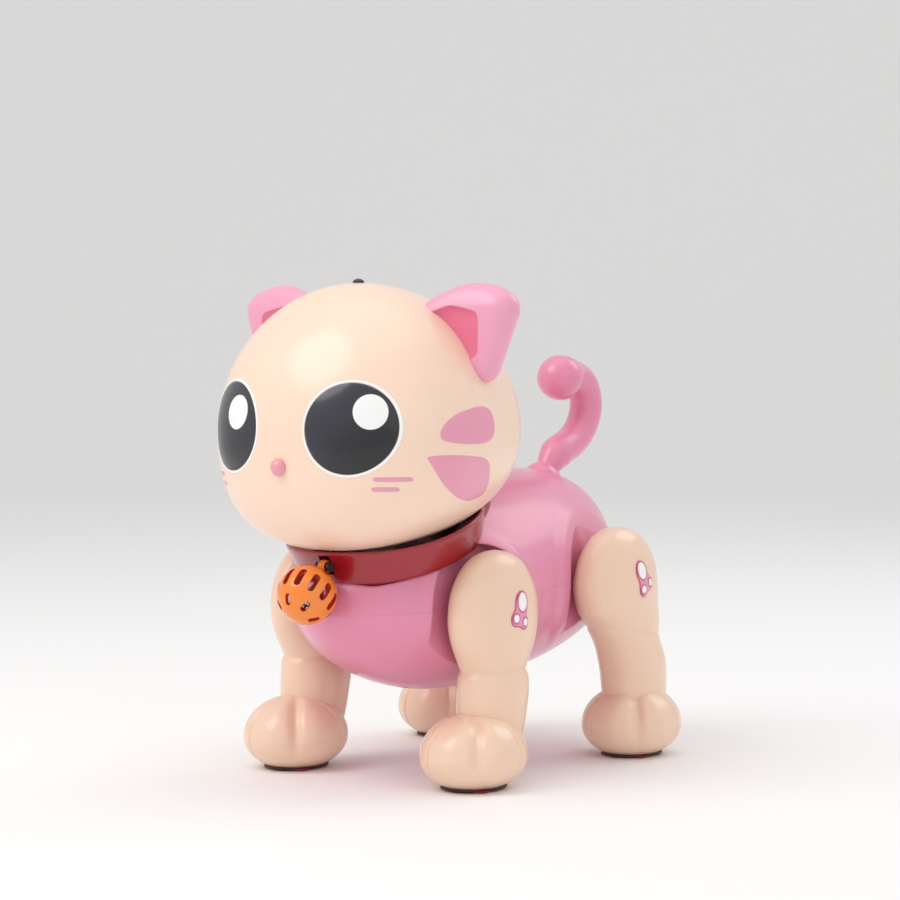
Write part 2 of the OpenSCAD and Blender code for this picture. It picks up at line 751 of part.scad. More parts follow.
placed() mirror([1, 0, 0]) ear();  // right_ear
placed() eye_rim();  // left_eye_rim
placed() mirror([1, 0, 0]) eye_rim();  // right_eye_rim
placed() eye_lens();  // left_eye_lens
placed() mirror([1, 0, 0]) eye_lens();  // right_eye_lens
placed() nose();
placed() ir_receiver_dome();
placed() eye_light_board();
placed() neck_bearing();
placed() neck_retainer();
placed() bell_cage();
placed() jingle_ball();
placed() tail();
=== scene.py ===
import math

import bpy
import bmesh
import numpy as np
from mathutils import Matrix, Vector


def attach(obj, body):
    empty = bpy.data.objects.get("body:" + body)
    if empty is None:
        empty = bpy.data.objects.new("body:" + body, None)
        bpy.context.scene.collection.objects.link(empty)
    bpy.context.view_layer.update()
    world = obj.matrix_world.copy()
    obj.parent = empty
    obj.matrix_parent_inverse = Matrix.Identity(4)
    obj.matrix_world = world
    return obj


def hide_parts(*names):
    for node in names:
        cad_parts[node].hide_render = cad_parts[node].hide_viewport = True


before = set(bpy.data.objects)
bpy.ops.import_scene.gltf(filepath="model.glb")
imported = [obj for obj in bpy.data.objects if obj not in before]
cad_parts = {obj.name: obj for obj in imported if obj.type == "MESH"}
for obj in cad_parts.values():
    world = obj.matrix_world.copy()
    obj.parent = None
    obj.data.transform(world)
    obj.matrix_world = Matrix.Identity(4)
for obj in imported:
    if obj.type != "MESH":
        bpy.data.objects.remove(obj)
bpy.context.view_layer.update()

# ---------------------------------------------------------------- measures, millimetres
SHIFT = 11.37                                   # the drawing's y = 0 in the part's frame
HEAD = dict(rx=58.3, front=49.3, back=72.0, top=58.3, jaw=46.9, push=12.6, y=-70.6, z=140.6)
BODY = dict(rx=46.0, front=76.0, back=102.0, top=47.0, belly=39.0, y=-15.0, z=72.2)
EYE = dict(a=16.6, b=17.4, x=28.6, z=142.8)
LEGS = {"fl": (1, -42.0, 68.2, 45.2), "fr": (-1, -42.0, 68.2, 45.2),
        "rl": (1, 42.0, 72.7, 49.0), "rr": (-1, 42.0, 72.7, 49.0)}
FRONT = [[1.2, -12.5, 15.5, 12.5], [2.3, -12.8, 19, 15.8], [6.4, -13.2, 22.4, 19.2],
         [13.2, -13.4, 23.8, 20.4], [20.2, -13, 22.8, 19.6], [25.7, -10.4, 19.8, 16.4],
         [28.4, -6, 17.4, 14], [30.6, -1.6, 16.2, 12.9], [36.2, -0.2, 16.8, 12.6],
         [42.2, 0, 16.6, 12.4], [45.8, -0.2, 15.4, 11.8], [49.7, -0.2, 17.6, 12],
         [55.2, 0, 21.4, 12.4], [61.2, 0, 24, 12.5], [68.2, 0, 25, 12.4], [76.2, 0, 23.7, 11.7],
         [83.2, 0, 20, 10.2], [88.7, 0, 14.8, 7.9], [92, 0, 8, 4.6], [93.1, 0, 2, 1.2]]
REAR = [[1.2, 13.5, 15.5, 12.5], [2.3, 13.2, 19, 15.8], [6.4, 12.8, 22.4, 19.2],
        [13.2, 12.6, 23.8, 20.4], [20.2, 13, 22.8, 19.6], [25.7, 13.6, 20, 16.6],
        [28.4, 14.2, 17.8, 14], [30.6, 14.4, 16.6, 13], [36.2, 13.8, 16.8, 12.8],
        [42.2, 12, 17.2, 12.6], [47.7, 9.3, 17.4, 12.2], [52.2, 7, 18.8, 12.2],
        [57.2, 5, 21.4, 12.4], [63.2, 2, 24.4, 12.5], [72.7, 0, 25.9, 12.5], [81.2, 0, 24.4, 11.7],
        [88.2, 0, 20.4, 10.2], [93.4, 0, 15, 7.9], [96.6, 0, 8.4, 4.6], [97.7, 0, 2, 1.2]]


# ---------------------------------------------------------------- maths
def spow(v, e):
    return np.sign(v) * np.abs(v) ** e


def step(lo, hi, v):
    t = np.clip((np.asarray(v, float) - lo) / (hi - lo), 0, 1)
    return t * t * (3 - 2 * t)


def smooth_rows(rows, steps):
    """Catmull-Rom through the given rows."""
    rows = np.asarray(rows, float)
    out = []
    for i in range(len(rows) - 1):
        p0, p1 = rows[max(0, i - 1)], rows[i]
        p2, p3 = rows[i + 1], rows[min(len(rows) - 1, i + 2)]
        for k in range(steps):
            t = k / steps
            out.append(0.5 * (2 * p1 + (p2 - p0) * t + (2 * p0 - 5 * p1 + 4 * p2 - p3) * t * t
                              + (3 * p1 - p0 - 3 * p2 + p3) * t ** 3))
    return np.array(out + [rows[-1]])


def to_frame(points):
    p = np.array(points, float)
    p[:, 1] += SHIFT
    return p * 0.001


# ---------------------------------------------------------------- meshes
def make(name, points, faces, sharp=40):
    mesh = bpy.data.meshes.new(name)
    mesh.from_pydata(to_frame(points).tolist(), [], [list(map(int, f)) for f in faces])
    mesh.validate()
    bm = bmesh.new()
    bm.from_mesh(mesh)
    bmesh.ops.remove_doubles(bm, verts=bm.verts, dist=1e-6)
    bmesh.ops.recalc_face_normals(bm, faces=bm.faces)
    bm.to_mesh(mesh)
    bm.free()
    obj = bpy.data.objects.new(name, mesh)
    bpy.context.scene.collection.objects.link(obj)
    shade(obj, sharp)
    return obj


def shade(obj, sharp=40):
    for f in obj.data.polygons:
        f.use_smooth = True
    obj.data.set_sharp_from_angle(angle=math.radians(sharp))


def grid_faces(rows, cols, close=True, loop=False):
    faces = []
    for i in range(rows if loop else rows - 1):
        for j in range(cols if close else cols - 1):
            a, b = i * cols + j, i * cols + (j + 1) % cols
            k = ((i + 1) % rows) * cols
            faces.append((a, b, k + (j + 1) % cols, k + j))
    return faces


def skin(name, rings, sharp=40):
    """A solid skinned over rings (rows x cols x 3), closed with a fan at each end."""
    rings = np.asarray(rings, float)
    rows, cols = rings.shape[:2]
    points = np.vstack([rings.reshape(-1, 3), rings[0].mean(0), rings[-1].mean(0)])
    faces = grid_faces(rows, cols)
    n = rows * cols
    faces += [(n, (j + 1) % cols, j) for j in range(cols)]
    faces += [(n + 1, n - cols + j, n - cols + (j + 1) % cols) for j in range(cols)]
    return make(name, points, faces, sharp)


def loop_skin(name, rings, sharp=40):
    rings = np.asarray(rings, float)
    return make(name, rings.reshape(-1, 3), grid_faces(*rings.shape[:2], loop=True), sharp)


def turned(name, profile, axis="z", at=(0, 0, 0), cols=64, sharp=40):
    """A solid turned from (radius, height) pairs about an axis through a point."""
    angles = np.linspace(0, 2 * np.pi, cols, endpoint=False)
    rings = np.array([[(r * math.cos(a), r * math.sin(a), h) for a in angles] for r, h in profile])
    if axis == "x":
        rings = rings[..., [2, 0, 1]]
    return skin(name, rings + np.array(at, float), sharp)


def block(name, low, high):
    (x0, y0, z0), (x1, y1, z1) = low, high
    pts = [(x, y, z) for x in (x0, x1) for y in (y0, y1) for z in (z0, z1)]
    return make(name, pts, [(0, 1, 3, 2), (4, 6, 7, 5), (0, 4, 5, 1), (2, 3, 7, 6), (0, 2, 6, 4),
                            (1, 5, 7, 3)])


def boolean(obj, tools, operation="DIFFERENCE", sharp=40):
    for tool in tools:
        m = obj.modifiers.new("cut", "BOOLEAN")
        m.operation, m.object, m.solver = operation, tool, "EXACT"
        m.material_mode = "TRANSFER"
    deps = bpy.context.evaluated_depsgraph_get()
    mesh = bpy.data.meshes.new_from_object(obj.evaluated_get(deps))
    obj.modifiers.clear()
    obj.data = mesh
    for tool in tools:
        bpy.data.objects.remove(tool)
    shade(obj, sharp)
    return obj


def finish_piece(obj, body, material, nodes=()):
    obj.data.materials.clear()
    obj.data.materials.append(material)
    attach(obj, body)
    if nodes:
        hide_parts(*nodes)
    return obj


# ---------------------------------------------------------------- materials
def rgb(hexa):
    v = [int(hexa[i:i + 2], 16) / 255 for i in (1, 3, 5)]
    return [c / 12.92 if c <= 0.04045 else ((c + 0.055) / 1.055) ** 2.4 for c in v] + [1.0]


def plastic(name, colour, rough=0.28, coat=0.35, grain=0.02, sss=0.0, metallic=0.0, bevel=0.0,
            spread=0.06):
    """Moulded plastic: faint colour and gloss variation and a very fine surface grain."""
    m = bpy.data.materials.new(name)
    m.use_nodes = True
    nt = m.node_tree
    b = nt.nodes["Principled BSDF"]
    b.inputs["Metallic"].default_value = metallic
    b.inputs["Coat Weight"].default_value = coat
    b.inputs["Coat Roughness"].default_value = 0.12
    b.inputs["Specular IOR Level"].default_value = 0.5
    if sss:
        b.inputs["Subsurface Weight"].default_value = sss
        b.inputs["Subsurface Radius"].default_value = (1.0, 0.45, 0.3)
        b.inputs["Subsurface Scale"].default_value = 0.004
    at = nt.nodes.new("ShaderNodeTexCoord")
    clouds = nt.nodes.new("ShaderNodeTexNoise")
    clouds.inputs["Scale"].default_value = 28.0
    clouds.inputs["Detail"].default_value = 3.0
    nt.links.new(at.outputs["Object"], clouds.inputs["Vector"])
    ramp = nt.nodes.new("ShaderNodeMapRange")
    ramp.inputs["To Min"].default_value = rough - 0.03
    ramp.inputs["To Max"].default_value = rough + 0.05
    nt.links.new(clouds.outputs["Fac"], ramp.inputs["Value"])
    nt.links.new(ramp.outputs["Result"], b.inputs["Roughness"])
    tint = nt.nodes.new("ShaderNodeMix")
    tint.data_type = "RGBA"
    base = rgb(colour)
    tint.inputs[6].default_value = [c * (1 - spread) for c in base[:3]] + [1]
    tint.inputs[7].default_value = [min(1, c * (1 + spread / 2)) for c in base[:3]] + [1]
    nt.links.new(clouds.outputs["Fac"], tint.inputs[0])
    nt.links.new(tint.outputs[2], b.inputs["Base Color"])
    fine = nt.nodes.new("ShaderNodeTexNoise")
    fine.inputs["Scale"].default_value = 1400.0
    nt.links.new(at.outputs["Object"], fine.inputs["Vector"])
    bump = nt.nodes.new("ShaderNodeBump")
    bump.inputs["Strength"].default_value = grain
    bump.inputs["Distance"].default_value = 0.0004
    nt.links.new(fine.outputs["Fac"], bump.inputs["Height"])
    nt.links.new(bump.outputs["Normal"], b.inputs["Normal"])
    if bevel:
        edge = nt.nodes.new("ShaderNodeBevel")
        edge.samples = 6
        edge.inputs["Radius"].default_value = bevel
        nt.links.new(edge.outputs["Normal"], bump.inputs["Normal"])
    return m


def add_line(m, normal, offset, width, depth, shade_to=0.8, zone=None):
    """A fine seam where a plane (millimetres, drawing frame) crosses the surface, with painted
    shade darkening its groove.
    zone is (axis index, low, high) in the same frame and limits how far the seam runs."""
    nt = m.node_tree
    b = nt.nodes["Principled BSDF"]
    at = nt.nodes.new("ShaderNodeTexCoord")
    dot = nt.nodes.new("ShaderNodeVectorMath")
    dot.operation = "DOT_PRODUCT"
    dot.inputs[1].default_value = normal
    nt.links.new(at.outputs["Object"], dot.inputs[0])

    def maths(op, a, second=None, third=None):
        n = nt.nodes.new("ShaderNodeMath")
        n.operation = op
        for k, v in enumerate([a, second, third]):
            if v is None:
                continue
            if isinstance(v, (int, float)):
                n.inputs[k].default_value = v
            else:
                nt.links.new(v, n.inputs[k])
        return n.outputs[0]

    off = (offset + normal[1] * SHIFT) * 0.001
    dist = maths("ABSOLUTE", maths("SUBTRACT", dot.outputs["Value"], off))
    line = nt.nodes.new("ShaderNodeMapRange")
    line.interpolation_type = "SMOOTHSTEP"
    line.inputs["From Min"].default_value = width * 0.0005
    line.inputs["From Max"].default_value = width * 0.0012
    line.inputs["To Min"].default_value = 1.0
    line.inputs["To Max"].default_value = 0.0
    nt.links.new(dist, line.inputs["Value"])
    amount = line.outputs["Result"]
    if zone:
        parts = nt.nodes.new("ShaderNodeSeparateXYZ")
        nt.links.new(at.outputs["Object"], parts.inputs[0])
        shift = SHIFT if zone[0] == 1 else 0
        v = parts.outputs[zone[0]]
        amount = maths("MULTIPLY", amount, maths("GREATER_THAN", v, (zone[1] + shift) * 0.001))
        amount = maths("MULTIPLY", amount, maths("LESS_THAN", v, (zone[2] + shift) * 0.001))
    # painted shade: the colour along the seam is multiplied towards dark red to stand for the shade
    # in the groove
    painted_seam_shade = nt.nodes.new("ShaderNodeMix")
    painted_seam_shade.data_type = "RGBA"
    painted_seam_shade.blend_type = "MULTIPLY"
    source = b.inputs["Base Color"].links[0].from_socket
    nt.links.new(maths("MULTIPLY", amount, 1 - shade_to), painted_seam_shade.inputs[0])
    nt.links.new(source, painted_seam_shade.inputs[6])
    painted_seam_shade.inputs[7].default_value = (0.45, 0.25, 0.25, 1)
    nt.links.new(painted_seam_shade.outputs[2], b.inputs["Base Color"])
    bump = nt.nodes.new("ShaderNodeBump")
    bump.invert = True
    bump.inputs["Strength"].default_value = depth
    bump.inputs["Distance"].default_value = 0.0006
    nt.links.new(amount, bump.inputs["Height"])
    nt.links.new(b.inputs["Normal"].links[0].from_socket, bump.inputs["Normal"])
    nt.links.new(bump.outputs["Normal"], b.inputs["Normal"])
    return m


M = {
    "pink": plastic("pink_gloss", "#E88FB0", rough=0.28, coat=0.4, bevel=0.0012, sss=0.05),
    "tail": plastic("pink_tail", "#E88DAE", rough=0.28, coat=0.4, sss=0.05),
    "ear": plastic("ear_pink", "#F0A6C2", rough=0.28, coat=0.3, sss=0.1, bevel=0.0012),
    "ear_inner": plastic("ear_inner", "#E9799B", rough=0.34, coat=0.2, sss=0.1),
    "face": plastic("face_cream", "#FBDCC6", rough=0.3, coat=0.3, sss=0.08, spread=0.02),
    "leg": plastic("leg_cream", "#F5D3BA", rough=0.28, coat=0.35, sss=0.08, spread=0.02),
    "patch": plastic("cheek_pink", "#EC9DB6", rough=0.25, coat=0.4),
    "nose": plastic("nose_pink", "#EFA0AE", rough=0.25, coat=0.5),
    "wine": plastic("collar_red", "#A00A24", rough=0.22, coat=0.5, spread=0.04),
    "bell": plastic("bell_orange", "#FB8A2C", rough=0.22, coat=0.45, bevel=0.0005, sss=0.1),
    # painted shade: a darker red that stands for the shade inside the bell and in its slots
    "bell_shade": plastic("bell_shaded_inside", "#D2330B", rough=0.35, coat=0.2),
    "white": plastic("white_gloss", "#FBFBFB", rough=0.25, coat=0.4, spread=0.01),
    "badge": plastic("badge_pink", "#EE97B4", rough=0.25, coat=0.4),
    # painted shade: a darker pink that stands for shade on the badge's side wall and in the pockets
    # round the pads
    "badge_shaded_edge": plastic("badge_shaded_edge", "#CC5F86", rough=0.3, coat=0.3),
    "sole": plastic("sole_rubber", "#8E0F26", rough=0.5, coat=0.05, grain=0.1),
    "base": plastic("sole_base", "#4A0A16", rough=0.5, coat=0.05, grain=0.1),
    "dark": plastic("dark_plastic", "#2A2628", rough=0.35, coat=0.2, grain=0.06),
    "ir": plastic("receiver_dome", "#2B1A1C", rough=0.12, coat=0.6),
    "steel": plastic("steel", "#C9CCD2", rough=0.25, coat=0.0, metallic=1.0),
    "ball": plastic("jingle_steel", "#E6E9EE", rough=0.1, coat=0.0, metallic=1.0),
    "inner": plastic("inner_plastic", "#E2DDD2", rough=0.5, coat=0.05, grain=0.06),
    "board": plastic("board_green", "#1F6B3C", rough=0.4, coat=0.3),
    "gear": plastic("gear_white", "#EDEDE8", rough=0.4, coat=0.05),
    "battery": plastic("battery_wrap", "#3B66A8", rough=0.35, coat=0.2),
}
# parting lines of the body and head shells, each with painted shade along it
add_line(M["pink"], (0.0, -0.0663, 0.9978), 73.7 * 0.9978 + 15 * 0.0663, 0.4, 0.12, 0.9)
add_line(M["face"], (0.0, 1.0, 0.0), HEAD["y"], 0.35, 0.12, 0.93)

CAD_LOOK = {"drive_chassis": "inner", "neck_post": "inner", "tail_bush": "inner",
            "neck_bearing": "inner", "main_circuit_board": "board", "eye_light_board": "board",
            "battery_pack": "battery", "speaker": "dark", "switch_housing": "dark",
            "power_slider": "dark", "bell_hook": "dark", "ir_receiver_dome": "ir",
            "charging_socket": "steel", "neck_retainer": "steel", "body_screws": "steel",
            "battery_door_screw": "steel", "jingle_ball": "ball"}
for tag in LEGS:
    CAD_LOOK["motor_" + tag] = "steel"
    CAD_LOOK["axle_" + tag] = "steel"
    CAD_LOOK["pinion_" + tag] = "gear"
for node, look in CAD_LOOK.items():
    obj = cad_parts[node]
    obj.data.materials.clear()
    obj.data.materials.append(M[look])
    shade(obj, 35)


# ---------------------------------------------------------------- head
def head_grid(turns, rises, inset=0.0):
    t, r = np.meshgrid(np.radians(turns), np.radians(rises))
    e = np.where(r > 0, 1.03, 0.87)
    c, s = np.cos(r) ** e, spow(np.sin(r), e)
    ry = np.where(np.cos(t) > 0, HEAD["front"], HEAD["back"]) - inset
    rz = np.where(r > 0, HEAD["top"], HEAD["jaw"]) - inset
    push = np.where(r < 0, -HEAD["push"] * s * s, 0)
    x = (HEAD["rx"] - inset) * c * spow(np.sin(t), 0.94)
    y = HEAD["y"] + push - ry * c * spow(np.cos(t), 0.94)
    return np.stack([x, y, HEAD["z"] + rz * s], -1)


def head_level(p):
    """Below 1 inside the head's outer surface, above 1 outside it."""
    x, y, z = p[..., 0], p[..., 1], p[..., 2]
    up = z > HEAD["z"]
    e = np.where(up, 1.03, 0.87)
    s = np.clip(np.abs(z - HEAD["z"]) / np.where(up, HEAD["top"], HEAD["jaw"]), 1e-6, 1)
    c = np.sqrt(np.clip(1 - s ** (2 / e), 1e-9, 1)) ** e
    q = y - HEAD["y"] + np.where(up, 0, HEAD["push"] * s * s)
    ry = np.where(q < 0, HEAD["front"], HEAD["back"])
    k = (np.abs(x) / HEAD["rx"] / c) ** (2 / 0.94) + (np.abs(q) / ry / c) ** (2 / 0.94)
    return k ** 0.47


def face_depth(x, z, sign=-1):
    """y of the face over a place seen from the front."""
    up = z > HEAD["z"]
    e = np.where(up, 1.03, 0.87)
    s = np.clip(np.abs(z - HEAD["z"]) / np.where(up, HEAD["top"], HEAD["jaw"]), 1e-6, 0.999)
    c = np.sqrt(1 - s ** (2 / e)) ** e
    k = np.clip(np.abs(x) / (HEAD["rx"] * c), 0, 0.999)
    q = (1 - k ** (2 / 0.94)) ** 0.47
    return HEAD["y"] - np.where(up, 0, HEAD["push"] * s * s) - HEAD["front"] * c * q


def cheek_width(y, z):
    """x of the head over a place seen from the left."""
    up = z > HEAD["z"]
    e = np.where(up, 1.03, 0.87)
    s = np.clip(np.abs(z - HEAD["z"]) / np.where(up, HEAD["top"], HEAD["jaw"]), 1e-6, 0.999)
    c = np.sqrt(1 - s ** (2 / e)) ** e
    q = y - HEAD["y"] + np.where(up, 0, HEAD["push"] * s * s)
    k = np.clip(np.abs(q) / (np.where(q < 0, HEAD["front"], HEAD["back"]) * c), 0, 0.999)
    return HEAD["rx"] * c * (1 - k ** (2 / 0.94)) ** 0.47


def head_normals(p):
    g = np.stack([head_level(p + d) - head_level(p - d) for d in np.eye(3) * 0.2], -1)
    return g / np.linalg.norm(g, axis=-1, keepdims=True)


head = skin("head_shell", head_grid(np.linspace(0, 360, 256, endpoint=False),
                                    np.linspace(-89.2, 89.2, 190)))
boolean(head, [turned("cut", [(11.3, 60), (11.3, 112)], at=(0, -62, 0))])
finish_piece(head, "head", M["face"], ["head_front_shell", "head_rear_shell"])


def relief(name, base, rings, material, project, nodes=()):
    """A low piece lying on the head: rings are (share of the outline, height) pairs."""
    centre, outline = base
    grid = []
    for share, height in rings:
        q = project(centre + (outline - centre) * share)
        grid.append(q + head_normals(q) * height)
    return finish_piece(skin(name, np.array(grid), 50), "head", material, nodes)


def eye_outline(grow, n=120, side=1):
    t = np.linspace(0, 2 * np.pi, n, endpoint=False)
    u, v = (EYE["a"] + grow) * np.cos(t), (EYE["b"] + grow) * np.sin(t)
    lean = math.radians(6)
    x = EYE["x"] + u * math.cos(lean) + v * math.sin(lean)
    z = EYE["z"] - u * math.sin(lean) + v * math.cos(lean)
    return np.stack([side * x, z], -1)


def from_front(p):
    return np.stack([p[:, 0], face_depth(p[:, 0], p[:, 1]), p[:, 1]], -1)


def from_side(side):
    def project(p):
        return np.stack([side * cheek_width(p[:, 0], p[:, 1]), p[:, 0], p[:, 1]], -1)
    return project


def eye_material(name, glint, side):
    """A dark tinted lens with a printed round glint and a soft lighter side, which is painted
    sheen.
    """
    m = plastic(name, "#24252D", rough=0.2, coat=0.25, grain=0.0, spread=0.0)
    nt = m.node_tree
    b = nt.nodes["Principled BSDF"]
    at = nt.nodes.new("ShaderNodeTexCoord")
    reach = nt.nodes.new("ShaderNodeVectorMath")
    reach.operation = "DISTANCE"
    reach.inputs[1].default_value = to_frame([glint])[0]
    nt.links.new(at.outputs["Object"], reach.inputs[0])
    disc = nt.nodes.new("ShaderNodeMapRange")
    disc.inputs["From Min"].default_value = 0.00668
    disc.inputs["From Max"].default_value = 0.00684
    disc.inputs["To Min"].default_value = 1.0
    disc.inputs["To Max"].default_value = 0.0
    nt.links.new(reach.outputs["Value"], disc.inputs["Value"])
    # painted sheen: the lens colour runs from a lighter grey on one side to near-black on the other
    low = nt.nodes.new("ShaderNodeVectorMath")
    low.operation = "DOT_PRODUCT"
    low.inputs[1].default_value = (0.62 * side, 0.0, -0.78)
    nt.links.new(at.outputs["Object"], low.inputs[0])
    fade = nt.nodes.new("ShaderNodeMapRange")
    fade.interpolation_type = "SMOOTHSTEP"
    middle = (0.62 * EYE["x"] - 0.78 * EYE["z"]) * 0.001
    fade.inputs["From Min"].default_value = middle - 0.014
    fade.inputs["From Max"].default_value = middle + 0.017
    nt.links.new(low.outputs["Value"], fade.inputs["Value"])
    sheen_ramp = nt.nodes.new("ShaderNodeMix")
    sheen_ramp.data_type = "RGBA"
    sheen_ramp.inputs[6].default_value = rgb("#34353F")
    sheen_ramp.inputs[7].default_value = rgb("#101015")
    nt.links.new(fade.outputs["Result"], sheen_ramp.inputs[0])
    both = nt.nodes.new("ShaderNodeMix")
    both.data_type = "RGBA"
    both.inputs[7].default_value = (0.93, 0.93, 0.93, 1)
    nt.links.new(disc.outputs["Result"], both.inputs[0])
    nt.links.new(sheen_ramp.outputs[2], both.inputs[6])
    nt.links.new(both.outputs[2], b.inputs["Base Color"])
    return m


for side, word, glint in ((1, "left", (36.4, -109.6, 149.2)),
                          (-1, "right", (-23.4, -115.9, 148.3))):
    centre = np.array([side * EYE["x"], EYE["z"]])
    lens_rings = [(0.0, 0.9)] + [(k / 24, 0.9 - 0.75 * (k / 24) ** 4) for k in range(2, 24)]
    lens_rings += [(0.985, 0.12), (0.995, -0.3), (0.995, -1.6), (0.5, -1.6), (0.0, -1.6)]
    relief(word + "_eye_lens_look", (centre, eye_outline(0.15, side=side)), lens_rings,
           eye_material(word + "_lens", glint, side), from_front,
           [word + "_eye_lens"])
    profile = [(0.1, -0.8), (0.1, 0.2), (0.25, 0.3), (0.6, 0.32), (0.9, 0.22), (1.05, 0.03),
               (1.05, -0.8)]
    ring = []
    for grow, height in profile:
        q = from_front(eye_outline(grow, side=side))
        ring.append(q + head_normals(q) * height)
    rim = loop_skin(word + "_eye_rim_look", np.array(ring).transpose(1, 0, 2), 60)
    finish_piece(rim, "head", M["white"], [word + "_eye_rim"])

UPPER = [(-90, 140.2), (-88.4, 144.1), (-83, 147.8), (-75.1, 150), (-66.9, 151), (-60.8, 148.9),
         (-58.7, 143.3), (-60.3, 138.6), (-66.9, 136.5), (-79.4, 136.7), (-88, 138)]
LOWER = [(-94, 130.7), (-93, 132.4), (-83.2, 132.6), (-67.6, 131.3), (-61.1, 128.7),
         (-58, 123.4), (-56.3, 116.8), (-62.8, 114.4), (-68.8, 114.3), (-77.5, 116.5),
         (-86.5, 121.8)]


def outline_of(points):
    p = np.asarray(points, float)
    n = len(p)
    out = []
    for i in range(n):
        a, b, c, d = p[i - 1], p[i], p[(i + 1) % n], p[(i + 2) % n]
        for k in range(10):
            t = k / 10
            out.append(0.5 * (2 * b + (c - a) * t + (2 * a - 5 * b + 4 * c - d) * t * t
                              + (3 * b - a - 3 * c + d) * t ** 3))
    return np.array(out)


LOW_RELIEF = [(k / 16, 0.2) for k in range(0, 15)] + [(0.955, 0.19), (0.975, 0.15), (0.99, 0.06),
                                                     (0.997, -0.5), (0.5, -0.5), (0.0, -0.5)]
WHISKER_RELIEF = [(0, 0.14), (0.3, 0.14), (0.6, 0.14), (0.8, 0.13), (0.93, 0.08), (0.99, -0.3),
                  (0.5, -0.3), (0, -0.3)]
for side, word in ((1, "left"), (-1, "right")):
    for part, points in (("upper", UPPER), ("lower", LOWER)):
        line = outline_of(points)
        relief(f"{word}_cheek_{part}", (line.mean(0), line), LOW_RELIEF, M["patch"],
               from_side(side))
    for k, (x0, x1, z) in enumerate(((36.6, 48.2, 123.7), (35.7, 44.2, 119.9))):
        t = np.linspace(0, 2 * np.pi, 64, endpoint=False)
        half, r = (x1 - x0) / 2, 0.95
        px = (x0 + x1) / 2 + np.clip(np.cos(t) * half * 1.6, -(half - r), half - r) + r * np.cos(t)
        line = np.stack([side * px, z + r * np.sin(t)], -1)
        relief(f"{word}_whisker_{k + 1}", (line.mean(0), line), WHISKER_RELIEF, M["patch"],
               from_front)

nose_t = np.linspace(0, 2 * np.pi, 48, endpoint=False)
nose_rings = []
for k in range(1, 24):
    a = math.pi * k / 24
    nose_rings.append([(3.25 * math.sin(a) * math.cos(t) * (1 + 0.06 * math.sin(t)),
                        2.9 * math.cos(a), 3.45 * math.sin(a) * math.sin(t))
                       for t in nose_t])
nose_at = np.array([0, float(face_depth(np.array(0.01), np.array(127.6))) - 0.4, 127.6])
nose = skin("nose_look", np.array(nose_rings) + nose_at)
finish_piece(nose, "head", M["nose"], ["nose"])


# ---------------------------------------------------------------- ears
def round_hull(name, balls, voxel=0.0007):
    bm = bmesh.new()
    for x, y, z, r in balls:
        at = Matrix.Translation(Vector((x, y + SHIFT, z)) * 0.001)
        bmesh.ops.create_icosphere(bm, subdivisions=4, radius=r * 0.001, matrix=at)
    hull = bmesh.ops.convex_hull(bm, input=bm.verts)
    keep = {v for g in hull["geom"] if isinstance(g, bmesh.types.BMFace) for v in g.verts}
    bmesh.ops.delete(bm, geom=[v for v in bm.verts if v not in keep], context="VERTS")
    mesh = bpy.data.meshes.new(name)
    bm.to_mesh(mesh)
    bm.free()
    obj = bpy.data.objects.new(name, mesh)
    bpy.context.scene.collection.objects.link(obj)
    m = obj.modifiers.new("even", "REMESH")
    m.mode, m.voxel_size, m.use_smooth_shade = "VOXEL", voxel, True
    s = obj.modifiers.new("soften", "SMOOTH")
    s.factor, s.iterations = 0.5, 22
    deps = bpy.context.evaluated_depsgraph_get()
    obj.data = bpy.data.meshes.new_from_object(obj.evaluated_get(deps))
    obj.modifiers.clear()
    shade(obj, 50)
    return obj


EAR = [(59, -57, 188.2, 8), (55.5, -57, 190.1, 7.7), (51, -57, 191.3, 7.4),
       (46.5, -58, 191.5, 7.1), (42, -59, 190.8, 6.8), (36.5, -60.5, 188.8, 6.4),
       (31, -62, 186, 6), (53.5, -59, 165.6, 6), (38, -50, 175.6, 7)]
DISH = [(52, -68.5, 185, 4), (42, -68.5, 186.5, 4), (31, -70.5, 183, 4), (51.5, -68, 172, 4),
        (40, -68, 168, 4)]
for side, word in ((1, "left"), (-1, "right")):
    ear = round_hull(word + "_ear_look", [(side * x, y, z, r) for x, y, z, r in EAR])
    dish = round_hull("dish", [(side * x, y, z, r) for x, y, z, r in DISH])
    ear.data.materials.append(M["ear"])
    dish.data.materials.append(M["ear_inner"])
    boolean(ear, [dish], sharp=60)
    if len(ear.data.materials) < 2:
        ear.data.materials.append(M["ear_inner"])
    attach(ear, "head")
    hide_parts(word + "_ear")


# ---------------------------------------------------------------- body
def body_grid(alongs, turns):
    a, t = np.meshgrid(np.radians(alongs), np.radians(turns), indexing="ij")
    front = a < np.pi / 2
    e = np.where(front, 1.1, 0.62)
    u = -spow(np.cos(a), e)
    r = np.sin(a) ** e
    rz = np.where(np.sin(t) >= 0, BODY["top"], BODY["belly"])
    ry = np.where(front, BODY["front"], BODY["back"])
    x = BODY["rx"] * r * spow(np.cos(t), 1.06) * (1 - 0.2 * u)
    z = BODY["z"] + rz * r * spow(np.sin(t), 1.06) + 6 * u + 3 * u * u
    return np.stack([x, BODY["y"] + ry * u, z], -1)


def with_rings(p):
    """Raises soft stepped rings round the four leg sockets."""
    p = p.copy()
    for side, ay, az, middle in LEGS.values():
        r = np.hypot(p[..., 1] - ay, p[..., 2] - az)
        out = side * p[..., 0]
        near = step(16, 31, out)
        if ay > 0:
            rise = 1.2 * (1 - step(31.5, 37.5, r))
        else:
            rise = 1.1 * (1 - step(29.5, 35.0, r))
        rise = rise * near * step(az - 34, az - 16, p[..., 2])
        p[..., 0] += side * rise
    return p


